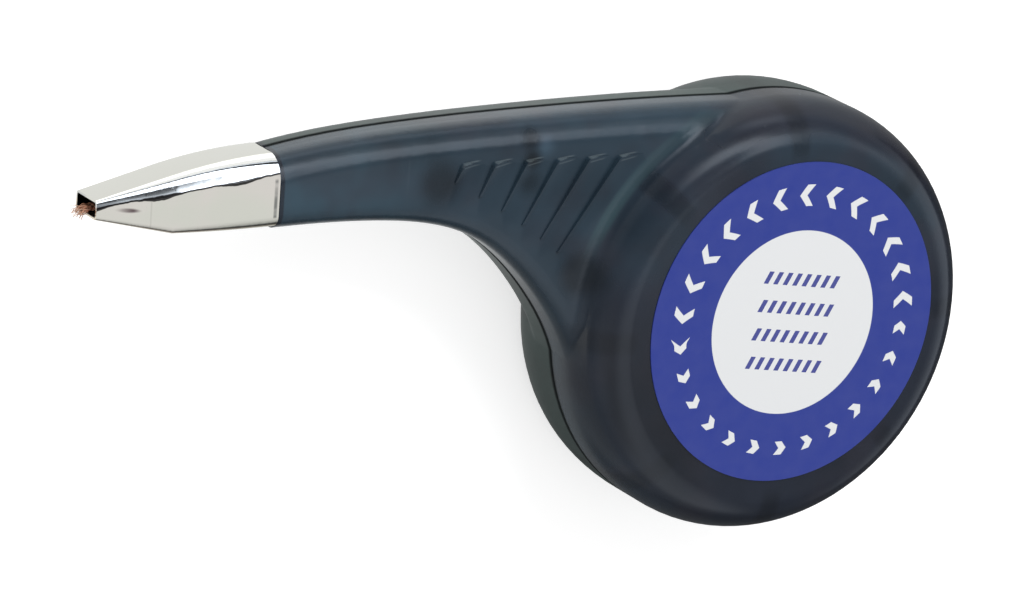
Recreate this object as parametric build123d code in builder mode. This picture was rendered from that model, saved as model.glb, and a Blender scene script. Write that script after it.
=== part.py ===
"""Pen-shaped dispenser of flat copper desoldering wick.

It lies on the flat rear face of its drum, +Z up, in millimetres. The origin is on the drum's
axis, on that face. The handle and the nozzle point along -X. The wick runs in the seam plane,
where the two halves of the housing meet, with its 2 mm width across that plane.
"""
import os
from math import acos, atan2, cos, degrees, hypot, radians, sin

from build123d import *

os.makedirs("parts", exist_ok=True)

# Drum
seam_z = 9.15  # height of the seam above the rear face
front_depth, rear_depth = 8.75, 9.15
drum_r = 24.4
front_edge, rear_edge = (4.8, 6.1), (2.4, 6.2)  # edge rounding: across the face, along the axis
wall, face_wall = 1.5, 1.8
cavity_r, cavity_edge = 22.6, (3.4, 2.6)

# Handle and web
handle_x = -60.9  # open end that holds the nozzle
handle_top, handle_bottom = 22.9, 14.9
end_half, web_half = 4.25, 4.95  # half thickness at the open end, and at web_x
web_x = -20.0
back_edge, belly_edge = 3.2, 2.1
crease_r = 2.0  # where the web meets the drum
seam_groove = (0.45, 0.2)  # shadow line round the seam: depth, and half its width

# Grip ribs
grip_count = 6
grip_pitch = 3.8
grip_start = (-39.6, 20.5)  # upper left corner of the rib nearest the nozzle
grip_height = 0.55

# Wick and spool
wick_w, wick_t, wick_round = 2.0, 0.42, 0.12
wick_turns, wick_pitch = 17, 0.5
wick_start_r = 8.7
coil_end_angle = 40.0
barrel_r = 8.4
flange_r, flange_t = 18.2, 1.0
slot_half = 1.25
hub_r, hub_half = 5.6, 3.1
post_r, running_gap = 3.0, 0.08
shoulder_r, end_play = 4.6, 0.3
lay_gap = 0.1  # between the wound coil and the wick that lies over it

# Nozzle and guide
nozzle_y, wick_y = 18.43, 18.3
break_x, tip_x = -72.5, -81.0
outlet = (1.6, 4.1)  # height and width
spigot_x, guide_x, wick_tip_x = -54.0, -52.0, -82.4
spigot, spigot_bore = (5.1, 4.7), (3.4, 3.2)
groove_x = (-57.6, -56.4)
guide_tip_x = -76.0
hollow_x = -50.5  # the handle is hollow from here to the drum
channel = (1.1, 2.65)

# Label
label_r, label_t = 18.0, 0.12
label_at = (0.75, 0.4)

# Bosses and pins that join the halves
web_boss, handle_boss = (-22.8, 6.1), (-40.8, 18.2)
boss_r = 2.3
pin_r, pin_gap, pin_reach = 1.3, 0.04, 2.4

# Ribs and seam lip
locating_rib_r, locating_rib_t = 18.8, 1.2
wick_gate = 1.35  # the wick passes ribs and walls within this distance of the seam
gate_x, gate_y = -30.4, 19.95
lip_t, lip_h = 0.7, 1.0
lip_arc = (-145, 220)  # start and extent, clear of the web

seam = Plane.XY.offset(seam_z)
rise = (web_half - end_half) / (web_x - handle_x)


def half_at(x):
    """Half thickness of the handle and web at x."""
    return end_half + rise * (x - handle_x)


def drum_form(side, radius, depth, edge):
    """Half of the drum on one side of the seam, with an elliptical outer edge."""
    across, along = edge
    start = seam_z + side * (depth - along)
    with BuildPart() as form:
        with BuildSketch(Plane.XZ):
            with BuildLine():
                corner = EllipticalCenterArc(
                    (radius - across, start), across, along, start_angle=0, arc_size=90 * side
                )
                Polyline(
                    corner @ 1,
                    (0, seam_z + side * depth),
                    (0, seam_z),
                    (radius, seam_z),
                    corner @ 0,
                )
            make_face()
        revolve(axis=Axis.Z)
    return form.part


def handle_form(side, inset):
    """Handle and web on one side of the seam, or their hollow when inset by the wall."""
    back = Spline(
        (handle_x, handle_top),
        (-48.5, 24.2),
        (-33.0, 24.6),
        (-15.0, 24.45),
        (-1.0, 23.9),
        tangents=[(1, 0.18), (1, -0.05)],
    )
    belly = Spline(
        (-23.35, -6.6),
        (-24.3, -3.0),
        (-25.7, 0.4),
        (-28.8, 4.8),
        (-33.6, 9.7),
        (-40.9, 13.4),
        (-50.0, 14.7),
        (handle_x, handle_bottom),
        tangents=[(-0.22, 1), (-1, 0)],
    )
    steps = [i / 8 for i in range(9)]
    with BuildPart() as form:
        with BuildSketch(seam):
            with BuildLine():
                upper, lower = [
                    Spline([c @ t + (c % t).rotate(Axis.Z, -90) * inset for t in steps])
                    for c in (back, belly)
                ]
                Polyline(upper @ 1, (-6, 10), (-16, -4), lower @ 0)
                Line(lower @ 1, upper @ 0)
            make_face()
        extrude(amount=side * 2 * web_half)
        face = Plane(
            origin=(handle_x, 0, seam_z + side * (end_half - inset)),
            x_dir=(1, 0, side * rise),
            z_dir=(-rise, 0, side),
        )
        split(bisect_by=face, keep=Keep.BOTTOM)
        flat = form.faces().sort_by(Axis.Z)[-1 if side > 0 else 0]
        rims = flat.edges().filter_by(GeomType.BSPLINE).sort_by(Axis.Y)
        fillet(rims[0], belly_edge - 0.9 * inset)
        fillet(rims[-1], back_edge - inset)
        if inset:
            split(bisect_by=Plane.YZ.offset(hollow_x))
    return form.part


def grip_ribs(side):
    """Slanted steps on the web. Each stands proudest at its upper left corner and fades out."""
    with BuildPart() as ribs:
        for i in range(grip_count):
            lean = radians(18 + 3 * i)
            length, width = 2.2 + 1.75 * i + 0.05 * i**2, 1.8 + 0.25 * i
            x, y = grip_start[0] + grip_pitch * i, grip_start[1] - 0.12 * i
            foot_x, foot_y = x - length * sin(lean), y - length * cos(lean)
            corner = Vector(x, y, seam_z + side * (half_at(x) + grip_height))
            right = Vector(x + width, y, seam_z + side * half_at(x + width)) - corner
            down = Vector(foot_x, foot_y, seam_z + side * (half_at(foot_x) + 0.1)) - corner
            with BuildSketch(Plane(origin=corner, x_dir=right, z_dir=down.cross(right))) as rib:
                with BuildLine():
                    Polyline(
                        (0, 0),
                        (width, 0),
                        (width + foot_x - x, foot_y - y),
                        (foot_x - x, foot_y - y),
                        close=True,
                    )
                make_face()
                fillet(rib.vertices().group_by(Axis.Y)[-1].sort_by(Axis.X)[0], 0.7)
            extrude(amount=-side * wall / 2)
    return ribs.part


def inner_ribs(side, depth):
    """Radial ribs that keep the spool central, and a wall across the web that guides the wick."""
    with BuildPart() as ribs:
        with BuildSketch(seam.offset(side * wick_gate)):
            with PolarLocations((locating_rib_r + cavity_r + 0.3) / 2, 8):
                Rectangle(cavity_r + 0.3 - locating_rib_r, locating_rib_t)
        extrude(amount=side * (depth - wick_gate + 0.3))
        add(drum_form(side, cavity_r + 0.3, depth + 0.3, cavity_edge), mode=Mode.INTERSECT)
        with BuildSketch(seam.offset(side * wick_gate)):
            with Locations((gate_x, gate_y)):
                Rectangle(1.6, 6.9)
        extrude(amount=side * (half_at(gate_x) - wick_gate - 1.2))
    return ribs.part


def socket_form():
    """Opening for the nozzle's spigot and the guide's collar, narrowed by the key in the groove."""
    with BuildPart() as socket:
        with BuildSketch(Plane.YZ.offset(guide_x)):
            with Locations((nozzle_y, seam_z)):
                RectangleRounded(spigot[0] + 0.2, spigot[1] + 0.2, 1.0)
        extrude(amount=handle_x - guide_x)
        with BuildSketch(Plane.YZ.offset(groove_x[1] - 0.1)):
            with Locations((nozzle_y, seam_z)):
                Rectangle(9, 9)
                RectangleRounded(spigot[0] - 0.6, spigot[1] - 0.6, 0.7, mode=Mode.SUBTRACT)
        extrude(amount=groove_x[0] - groove_x[1] + 0.2, mode=Mode.SUBTRACT)
        with BuildSketch(Plane.YZ.offset(hollow_x)):
            with Locations((wick_y, seam_z)):
                Rectangle(1.4, 2 * wick_gate)
        extrude(amount=guide_x - hollow_x)
    return socket.part


def nozzle_section(x, y, height, width, top_r, bottom_r):
    """Cross-section of the nozzle, with larger corners along its back."""
    with BuildSketch(Plane.YZ.offset(x)) as section:
        with Locations((y, seam_z)):
            Rectangle(height, width)
        fillet(section.vertices().group_by(Axis.X)[-1], top_r)
        fillet(section.vertices().group_by(Axis.X)[0], bottom_r)
    return section.sketch


def spiral(r0, turns, pitch, grow):
    """One edge of a flat winding, made of half circles about two centres in turn."""
    start = Vector(1, 0).rotate(Axis.Z, coil_end_angle)
    for i in range(2 * turns):
        centre = start * (pitch / 2) if i % 2 else Vector(0, 0)
        begin = coil_end_angle + (180 if i % 2 else 0)
        CenterArc(centre, r0 + grow + pitch / 2 * i, begin, 180)
    return start


with BuildPart() as front_shell:
    add(drum_form(1, drum_r, front_depth, front_edge))
    add(handle_form(1, 0))
    fillet(front_shell.edges(Select.NEW), crease_r)
    seam_face = front_shell.faces().sort_by(Axis.Z)[0]
    chamfer(seam_face.edges().sort_by(Axis.X)[1:], *seam_groove, reference=seam_face)
    add(grip_ribs(1))
    add(drum_form(1, cavity_r, front_depth - face_wall, cavity_edge), mode=Mode.SUBTRACT)
    add(handle_form(1, wall), mode=Mode.SUBTRACT)
    add(socket_form(), mode=Mode.SUBTRACT)
    add(inner_ribs(1, front_depth - face_wall))
    # axle post and the shoulder above the spool
    with BuildSketch(seam.offset(hub_half + end_play)):
        Circle(shoulder_r)
    extrude(amount=front_depth - hub_half - end_play - 0.5)
    with BuildSketch(seam.offset(hub_half + end_play)):
        Circle(post_r)
    extrude(amount=-2 * (hub_half + end_play) + 0.05)
    # bosses in the handle and the web, and the pins that hold the halves together
    with BuildSketch(seam):
        with Locations(handle_boss, web_boss):
            Circle(boss_r)
    extrude(amount=half_at(handle_boss[0]) - 0.6)
    with BuildSketch(seam):
        with Locations(handle_boss, web_boss):
            Circle(pin_r)
    extrude(amount=-pin_reach, taper=3)
    with BuildSketch(seam.offset(-hub_half)):
        Circle(pin_r)
    extrude(amount=-end_play - pin_reach, taper=3)
    # relief for the lip
    with BuildSketch(seam):
        with BuildLine():
            CenterArc((0, 0), cavity_r + lip_t / 2, lip_arc[0] - 1, lip_arc[1] + 2)
        trace(line_width=lip_t + 0.2)
    extrude(amount=lip_h + 0.1, mode=Mode.SUBTRACT)
front_shell.part.label = "front_shell"

with BuildPart() as rear_shell:
    add(drum_form(-1, drum_r, rear_depth, rear_edge))
    add(handle_form(-1, 0))
    fillet(rear_shell.edges(Select.NEW), crease_r)
    seam_face = rear_shell.faces().sort_by(Axis.Z)[-1]
    chamfer(seam_face.edges().sort_by(Axis.X)[1:], *seam_groove, reference=seam_face)
    add(grip_ribs(-1))
    add(drum_form(-1, cavity_r, rear_depth - face_wall, cavity_edge), mode=Mode.SUBTRACT)
    add(handle_form(-1, wall), mode=Mode.SUBTRACT)
    add(socket_form(), mode=Mode.SUBTRACT)
    add(inner_ribs(-1, rear_depth - face_wall))
    # shoulder below the spool, and the bosses in the handle and the web
    with BuildSketch(seam.offset(-hub_half - end_play)):
        Circle(shoulder_r)
    extrude(amount=hub_half + end_play - rear_depth + 0.5)
    with BuildSketch(seam):
        with Locations(handle_boss, web_boss):
            Circle(boss_r)
    extrude(amount=0.6 - half_at(handle_boss[0]))
    # sockets for the pins
    with BuildSketch(seam):
        with Locations(handle_boss, web_boss):
            Circle(pin_r + pin_gap)
    extrude(amount=-pin_reach - 0.3, mode=Mode.SUBTRACT)
    with BuildSketch(seam.offset(-hub_half - end_play)):
        Circle(pin_r + pin_gap)
    extrude(amount=-pin_reach - 0.3, mode=Mode.SUBTRACT)
    # lip that keeps the halves in line
    with BuildSketch(seam.offset(-0.5)):
        with BuildLine():
            CenterArc((0, 0), cavity_r + lip_t / 2, *lip_arc)
        trace(line_width=lip_t)
    extrude(amount=lip_h + 0.5)
rear_shell.part.label = "rear_shell"

with BuildPart() as nozzle:
    rise_sections = [
        nozzle_section(handle_x - 0.05, 19.05, 7.6, 8.4, 2.6, 1.4),
        nozzle_section(-66.0, 18.85, 7.3, 7.6, 2.0, 1.2),
        nozzle_section(break_x, 18.4, 6.0, 6.6, 1.4, 0.8),
    ]
    loft(rise_sections)
    loft([rise_sections[-1], nozzle_section(tip_x, nozzle_y, 2.05, 4.6, 0.4, 0.4)], ruled=True)
    with BuildSketch(Plane.YZ.offset(spigot_x)):
        with Locations((nozzle_y, seam_z)):
            RectangleRounded(*spigot, 0.9)
    extrude(amount=-8)
    with BuildSketch(Plane.YZ.offset(groove_x[1])):
        with Locations((nozzle_y, seam_z)):
            Rectangle(9, 9)
            RectangleRounded(spigot[0] - 0.8, spigot[1] - 0.8, 0.7, mode=Mode.SUBTRACT)
    extrude(amount=groove_x[0] - groove_x[1], mode=Mode.SUBTRACT)
    for x, height, width, corner in ((-62.2, 6.2, 5.8, 1.2), (break_x, 4.75, 5.4, 0.9)):
        with BuildSketch(Plane.YZ.offset(x)):
            with Locations((nozzle_y, seam_z)):
                RectangleRounded(height, width, corner)
    loft(ruled=True, mode=Mode.SUBTRACT)
    for x, height, width, corner in ((break_x, 4.75, 5.4, 0.9), (tip_x, *outlet, 0.2)):
        with BuildSketch(Plane.YZ.offset(x)):
            with Locations((nozzle_y, seam_z)):
                RectangleRounded(height, width, corner)
    loft(ruled=True, mode=Mode.SUBTRACT)
    with BuildSketch(Plane.YZ.offset(spigot_x)):
        with Locations((nozzle_y, seam_z)):
            RectangleRounded(*spigot_bore, 0.4)
    extrude(amount=-9, mode=Mode.SUBTRACT)
nozzle.part.label = "nozzle"

with BuildPart() as wick_guide:
    with BuildSketch(Plane.YZ.offset(guide_x)):
        with Locations((nozzle_y, seam_z)):
            RectangleRounded(*spigot, 0.9)
    extrude(amount=spigot_x - guide_x + 0.05)
    with BuildSketch(Plane.YZ.offset(guide_x)):
        with Locations((nozzle_y, seam_z)):
            RectangleRounded(spigot_bore[0] - 0.1, spigot_bore[1] - 0.1, 0.35)
    extrude(amount=guide_tip_x - guide_x)
    with BuildSketch(Plane.YZ.offset(guide_x)):
        with Locations((wick_y, seam_z)):
            Rectangle(*channel)
    extrude(amount=guide_tip_x - guide_x, mode=Mode.SUBTRACT)
wick_guide.part.label = "wick_guide"

with BuildPart() as spool_hub:
    with BuildSketch(seam.offset(-hub_half)):
        Circle(hub_r)
    extrude(amount=2 * hub_half)
    with BuildSketch(seam.offset(-slot_half)):
        Circle(barrel_r)
    extrude(amount=2 * slot_half)
    with BuildSketch(seam.offset(-slot_half)):
        Circle(flange_r)
    extrude(amount=-flange_t)
    with BuildSketch(seam.offset(-hub_half)):
        Circle(post_r + running_gap)
    extrude(amount=2 * hub_half, mode=Mode.SUBTRACT)
spool_hub.part.label = "spool_hub"

with BuildPart() as spool_flange:
    with BuildSketch(seam.offset(slot_half)):
        Circle(flange_r)
        Circle(hub_r, mode=Mode.SUBTRACT)
    extrude(amount=flange_t)
spool_flange.part.label = "spool_flange"

with BuildPart() as wick_coil:
    with BuildSketch(seam):
        with BuildLine():
            out = spiral(wick_start_r, wick_turns, wick_pitch, wick_t / 2)
            spiral(wick_start_r, wick_turns, wick_pitch, -wick_t / 2)
            for r in (wick_start_r, wick_start_r + wick_turns * wick_pitch):
                Line(out * (r - wick_t / 2), out * (r + wick_t / 2))
        make_face()
    extrude(amount=wick_w / 2, both=True)
wick_coil.part.label = "wick_coil"

lay_r = wick_start_r + wick_turns * wick_pitch + wick_t + lay_gap
turn_r = boss_r + wick_t / 2 + 0.25
reach = hypot(*handle_boss)
lift = degrees(atan2(handle_boss[1], handle_boss[0]) - acos((lay_r - turn_r) / reach))
dip = 20.0
ease_r = 10.0
drop = handle_boss[1] + turn_r * cos(radians(dip)) - wick_y - ease_r * (1 - cos(radians(dip)))
with BuildPart() as wick_feed:
    with BuildSketch(seam):
        with BuildLine():
            wrap = CenterArc((0, 0), lay_r, coil_end_angle + 2, lift - coil_end_angle - 2)
            over = CenterArc(handle_boss, turn_r, lift, 90 + dip - lift)
            Line(wrap @ 1, over @ 0)
            down = PolarLine(over @ 1, drop / sin(radians(dip)), 180 + dip)
            ease_centre = down @ 1 + Vector(0, ease_r).rotate(Axis.Z, dip)
            ease = CenterArc(ease_centre, ease_r, 270 + dip, -dip)
            Line(ease @ 1, (guide_x + 0.1, wick_y))
        trace(line_width=wick_t)
    extrude(amount=wick_w / 2, both=True)
wick_feed.part.label = "wick_feed"

with BuildPart() as wick_end:
    with BuildSketch(Plane.YZ.offset(guide_x)):
        with Locations((wick_y, seam_z)):
            RectangleRounded(wick_t, wick_w, wick_round)
    extrude(amount=wick_tip_x - guide_x)
wick_end.part.label = "wick_end"

with BuildPart() as label:
    with BuildSketch(seam.offset(front_depth)):
        with Locations(label_at):
            Circle(label_r)
    extrude(amount=label_t)
label.part.label = "label"


for piece in (
    front_shell,
    rear_shell,
    nozzle,
    wick_guide,
    spool_hub,
    spool_flange,
    wick_coil,
    wick_feed,
    wick_end,
    label,
):
    export_step(piece.part, f"parts/{piece.part.label}.step")
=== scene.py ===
import math
import random

import bmesh
import bpy
from mathutils import Matrix, Vector


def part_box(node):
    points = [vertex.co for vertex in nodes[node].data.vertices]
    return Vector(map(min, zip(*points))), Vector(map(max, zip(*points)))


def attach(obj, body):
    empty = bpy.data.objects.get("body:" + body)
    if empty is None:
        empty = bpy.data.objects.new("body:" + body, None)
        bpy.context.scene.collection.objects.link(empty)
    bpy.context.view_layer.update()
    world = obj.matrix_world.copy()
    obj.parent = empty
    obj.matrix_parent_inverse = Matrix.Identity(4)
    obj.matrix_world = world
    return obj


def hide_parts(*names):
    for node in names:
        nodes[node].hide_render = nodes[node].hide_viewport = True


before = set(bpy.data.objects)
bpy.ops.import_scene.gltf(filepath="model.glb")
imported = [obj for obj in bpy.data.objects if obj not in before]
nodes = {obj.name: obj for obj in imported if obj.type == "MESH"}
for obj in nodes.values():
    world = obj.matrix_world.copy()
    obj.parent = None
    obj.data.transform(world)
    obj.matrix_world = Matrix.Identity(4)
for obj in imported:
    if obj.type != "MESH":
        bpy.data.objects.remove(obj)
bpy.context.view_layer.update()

mm = 0.001
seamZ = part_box("wick_end")[0].z + 1.0 * mm  # the wick is 2 mm wide, centred on the seam
print("frame loaded:", len(nodes), "nodes")


# camera

cameraSet = {
    "place": (-0.35155, 0.19339, 0.52970),
    "right": (0.859326, 0.069252, 0.506718),
    "up": (0.094084, 0.952474, -0.289725),
    "lens": 210.78,
    "sensor": 36.0,
    "clip": (0.01, 20),
}


def makeCamera(setting):
    data = bpy.data.cameras.new("camera")
    data.lens, data.sensor_width, data.sensor_fit = setting["lens"], setting["sensor"], "HORIZONTAL"
    data.clip_start, data.clip_end = setting["clip"]
    camera = bpy.data.objects.new("camera", data)
    bpy.context.scene.collection.objects.link(camera)
    right, up = Vector(setting["right"]).normalized(), Vector(setting["up"]).normalized()
    turn = Matrix((right, up, right.cross(up).normalized())).transposed()
    camera.matrix_world = Matrix.Translation(setting["place"]) @ turn.to_4x4()
    bpy.context.scene.camera = camera


makeCamera(cameraSet)
bpy.context.scene.view_settings.view_transform = "Standard"
print("camera placed")


# node helpers

def addNode(tree, kind, **values):
    node = tree.nodes.new(kind)
    for key, value in values.items():
        setattr(node, key, value)
    return node


def plug(tree, value, socket):
    if isinstance(value, bpy.types.NodeSocket):
        tree.links.new(value, socket)
    else:
        socket.default_value = value


def mathNode(tree, operation, *values, clamp=False):
    node = addNode(tree, "ShaderNodeMath", operation=operation, use_clamp=clamp)
    for socket, value in zip(node.inputs, values):
        plug(tree, value, socket)
    return node.outputs[0]


def multiply(tree, first, *others):
    for other in others:
        first = mathNode(tree, "MULTIPLY", first, other)
    return first


def distance(tree, value, middle):
    return mathNode(tree, "ABSOLUTE", mathNode(tree, "SUBTRACT", value, middle))


def radiusOf(tree, x, y):
    return mathNode(tree, "SQRT", mathNode(tree, "MULTIPLY_ADD", x, x, multiply(tree, y, y)))


def darken(tree, shade, mask, depth):
    return multiply(tree, shade, mathNode(tree, "MULTIPLY_ADD", mask, -depth, 1.0))


def ramp(tree, value, low, high, start=0.0, end=1.0):
    node = addNode(tree, "ShaderNodeMapRange", interpolation_type="SMOOTHSTEP")
    for socket, item in zip(node.inputs, (value, low, high, start, end)):
        plug(tree, item, socket)
    return node.outputs[0]


# product of ramps: axes has each axis's value and zero, and each edge has its axis,
# where the ramp starts and stops, and its levels there if they aren't 0 and 1
def zone(tree, axes, edges, unit=1.0):
    ramps = []
    for axis, low, high, *levels in edges:
        value, zero = axes[axis]
        ramps.append(ramp(tree, value, zero + low * unit, zero + high * unit, *levels))
    return multiply(tree, *ramps)


def mixValue(tree, share, first, second):
    node = addNode(tree, "ShaderNodeMix", data_type="FLOAT")
    for index, value in ((0, share), (2, first), (3, second)):  # 2 and 3 are the plain number sockets
        plug(tree, value, node.inputs[index])
    return node.outputs[0]


def mixColor(tree, share, first, second, blend="MIX"):
    node = addNode(tree, "ShaderNodeMix", data_type="RGBA", blend_type=blend)
    for index, value in ((0, share), (6, first), (7, second)):  # 6 and 7 are the colour sockets
        plug(tree, value, node.inputs[index])
    return node.outputs[2]


def shadeColor(tree, color, shade):
    grey = addNode(tree, "ShaderNodeCombineColor")
    for socket in grey.inputs:
        plug(tree, shade, socket)
    return mixColor(tree, 1.0, color, grey.outputs[0], "MULTIPLY")


def split(tree, vector):
    apart = addNode(tree, "ShaderNodeSeparateXYZ")
    plug(tree, vector, apart.inputs[0])
    return apart.outputs


def objectPlace(tree):
    place = addNode(tree, "ShaderNodeTexCoord").outputs["Object"]
    return place, *split(tree, place)


def noise(tree, place, scale, detail=2.0, stretch=None):
    if stretch:
        mapping = addNode(tree, "ShaderNodeMapping")
        plug(tree, place, mapping.inputs["Vector"])
        mapping.inputs["Scale"].default_value = stretch
        place = mapping.outputs[0]
    node = addNode(tree, "ShaderNodeTexNoise")
    plug(tree, place, node.inputs["Vector"])
    plug(tree, scale, node.inputs["Scale"])
    node.inputs["Detail"].default_value = detail
    return node.outputs["Fac"]


def bump(tree, height, depth):
    node = addNode(tree, "ShaderNodeBump")
    plug(tree, height, node.inputs["Height"])
    node.inputs["Distance"].default_value = depth
    node.inputs["Strength"].default_value = 1.0
    return node.outputs[0]


def newMaterial(name):
    material = bpy.data.materials.new(name)
    material.use_nodes = True
    return material, material.node_tree, material.node_tree.nodes["Principled BSDF"]


def shaderGroup(name, inputs, outputs):
    group = bpy.data.node_groups.new(name, "ShaderNodeTree")
    for label, value in inputs.items():
        socket = group.interface.new_socket(label, in_out="INPUT", socket_type="NodeSocketFloat")
        socket.default_value = value
    for label, kind in outputs.items():
        group.interface.new_socket(label, in_out="OUTPUT", socket_type="NodeSocket" + kind)
    start, end = group.nodes.new("NodeGroupInput"), group.nodes.new("NodeGroupOutput")
    return group, start.outputs, end.inputs


def useGroup(tree, group, values):
    node = addNode(tree, "ShaderNodeGroup", node_tree=group)
    for key, value in values.items():
        plug(tree, value, node.inputs[key])
    return node.outputs


# floor, sky and lamps

floorSet = {
    "size": 3.0,
    "below": 0.02,  # mm
    "albedo": 0.8,
    "roughness": 0.9,
    "lift": 0.5,
    # the floor's level in reflections
    "glossColor": (0.88, 0.90, 0.90, 1),
    "darkSlope": -0.5,
    "dark": (-0.02, 0.045, 0.12, 1.0),
    "beside": (-0.015, -0.035, 0.0, 0.36),
    "level": (-0.015, 0.03, 1.05, 0.6),
    # a brighter strip of paper behind the handle
    "glow": (("y", 0.029, 0.034), ("y", 0.05, 0.07, 1.0, 0.0), ("x", -0.04, 0.0, 1.0, 0.0)),
}


def makeFloor(setting):
    mesh = bpy.data.meshes.new("floor")
    bm = bmesh.new()
    under = Matrix.Translation((0, 0, -setting["below"] * mm))
    bmesh.ops.create_grid(bm, x_segments=1, y_segments=1, size=setting["size"], matrix=under)
    bm.to_mesh(mesh)
    bm.free()
    floor = bpy.data.objects.new("floor", mesh)
    bpy.context.scene.collection.objects.link(floor)
    material, tree, shader = newMaterial("floorPaper")
    shader.inputs["Base Color"].default_value = (setting["albedo"],) * 3 + (1,)
    shader.inputs["Roughness"].default_value = setting["roughness"]
    shader.inputs["Specular IOR Level"].default_value = 0.0
    rays = addNode(tree, "ShaderNodeLightPath").outputs
    seen = mathNode(tree, "MAXIMUM", rays["Is Camera Ray"], rays["Is Transmission Ray"])
    shader.inputs["Emission Color"].default_value = (1, 1, 1, 1)
    plug(tree, multiply(tree, seen, setting["lift"]), shader.inputs["Emission Strength"])
    x, y = objectPlace(tree)[1:3]
    paper = addNode(tree, "ShaderNodeEmission")
    paper.inputs["Color"].default_value = setting["glossColor"]
    dark = ramp(tree, mathNode(tree, "MULTIPLY_ADD", x, setting["darkSlope"], y), *setting["dark"])
    level = mathNode(tree, "MAXIMUM", dark, ramp(tree, x, *setting["beside"]))
    level = multiply(tree, level, ramp(tree, x, *setting["level"]))
    glow = zone(tree, {"x": (x, 0), "y": (y, 0)}, setting["glow"])
    plug(tree, mathNode(tree, "ADD", level, glow), paper.inputs["Strength"])
    mix = addNode(tree, "ShaderNodeMixShader")
    for socket, value in zip(mix.inputs, (rays["Is Glossy Ray"], shader.outputs[0], paper.outputs[0])):
        plug(tree, value, socket)
    plug(tree, mix.outputs[0], tree.nodes["Material Output"].inputs["Surface"])
    mesh.materials.append(material)


makeFloor(floorSet)

skySet = {
    "diffuse": 0.62,
    "room": 0.26,
    "tint": (0.90, 0.99, 1.11, 1),
    "front": 0.45,  # share of the room's level that is left towards the front
    "left": 0.06,
    "right": 0.5,
    "horizon": 1.0,
    "gap": 0.8,  # share that is lost between horizon and softbox
    "softbox": 2.6,
    "panel": 0.62,
    # where each of them is, by direction; "high" is z, bent at the softbox's edges
    "bends": (("x", 0.50, 0.57, -0.03, 0.17), ("x", 0.28, 0.38, 0.1, 0.0)),
    "softboxArea": (
        ("high", 0.60, 0.71),
        ("high", 0.85, 0.92, 1.0, 0.0),
        ("y", 0.07, 0.23),
        ("x", -0.35, 0.15),
        ("x", 0.45, 0.54, 1.0, 0.16),
    ),
    "panelArea": (
        ("x", 0.36, 0.52, 1.0, 0.0),
        ("y", -0.05, -0.17),
        ("z", 0.1, 0.4),
        ("x", -0.5, 0.05, 0.25, 1.0),
    ),
    "frontArea": (("y", -0.3, -0.7), ("x", 0.1, 0.35)),
    "leftArea": (("x", 0.2, -0.2), ("y", -0.2, -0.6)),
    "rightArea": (("x", 0.6, 0.9), ("y", 0.1, 0.35, 1.0, 0.0)),
    "horizonArea": (
        ("z", 0.12, 0.3, 1.0, 0.0),
        ("y", 0.2, 0.5),
        ("x", 0.43, 0.54, 1.0, 0.15),
        ("x", 0.05, 0.25),
    ),
    "gapArea": (("z", 0.25, 0.35), ("y", 0.2, 0.5), ("x", 0.51, 0.58, 1.0, 0.0)),
}


def makeSky(setting):
    world = bpy.data.worlds.new("studio")
    world.use_nodes = True
    bpy.context.scene.world = world
    tree = world.node_tree
    shade = tree.nodes["Background"]
    x, y, z = split(tree, addNode(tree, "ShaderNodeTexCoord").outputs["Generated"])
    axes = {"x": (x, 0), "y": (y, 0), "z": (z, 0)}
    high = z
    for bend in setting["bends"]:
        high = mathNode(tree, "ADD", high, zone(tree, axes, (bend,)))
    axes["high"] = (high, 0)

    def area(name):
        return zone(tree, axes, setting[name])

    loss = (setting["front"] - 1) * setting["room"]
    room = mathNode(tree, "MULTIPLY_ADD", area("frontArea"), loss, setting["room"])
    for name in ("left", "right", "horizon"):
        room = mathNode(tree, "MULTIPLY_ADD", area(name + "Area"), setting[name], room)
    room = darken(tree, room, area("gapArea"), setting["gap"])
    gloss = mathNode(tree, "MULTIPLY_ADD", area("softboxArea"), setting["softbox"], room)
    gloss = mathNode(tree, "MULTIPLY_ADD", area("panelArea"), setting["panel"], gloss)
    rays = addNode(tree, "ShaderNodeLightPath").outputs
    plug(tree, mixColor(tree, rays["Is Glossy Ray"], (1, 1, 1, 1), setting["tint"]), shade.inputs["Color"])
    diffuse = setting["diffuse"]
    level = mathNode(tree, "MULTIPLY_ADD", rays["Is Camera Ray"], 1 - diffuse, diffuse)
    plug(tree, mixValue(tree, rays["Is Glossy Ray"], level, gloss), shade.inputs["Strength"])


makeSky(skySet)

lampSet = {
    "aim": (-0.02, 0.005, 0.01),
    "lamps": (
        {"name": "softKey", "towards": (0.25, 0.8, 0.6), "away": 0.9, "size": (0.8, 0.5), "watts": 7.0},
        {"name": "softFill", "towards": (-0.7, -0.3, 0.65), "away": 1.1, "size": (0.8, 0.8), "watts": 2.5},
    ),
}


def makeLamps(setting):
    for each in setting["lamps"]:
        data = bpy.data.lights.new(each["name"], "AREA")
        data.shape = "RECTANGLE"
        data.size, data.size_y = each["size"]
        data.energy = each["watts"]
        lamp = bpy.data.objects.new(each["name"], data)
        bpy.context.scene.collection.objects.link(lamp)
        towards = Vector(each["towards"]).normalized()
        lamp.location = Vector(setting["aim"]) + towards * each["away"]
        lamp.rotation_euler = towards.to_track_quat("Z", "Y").to_euler()
        lamp.visible_glossy = False  # reflections come from the sky


makeLamps(lampSet)
print("floor, sky and lamps placed")


# smooth shading for the CAD nodes

smoothSet = {"merge": 1e-6, "angle": 28}


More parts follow.
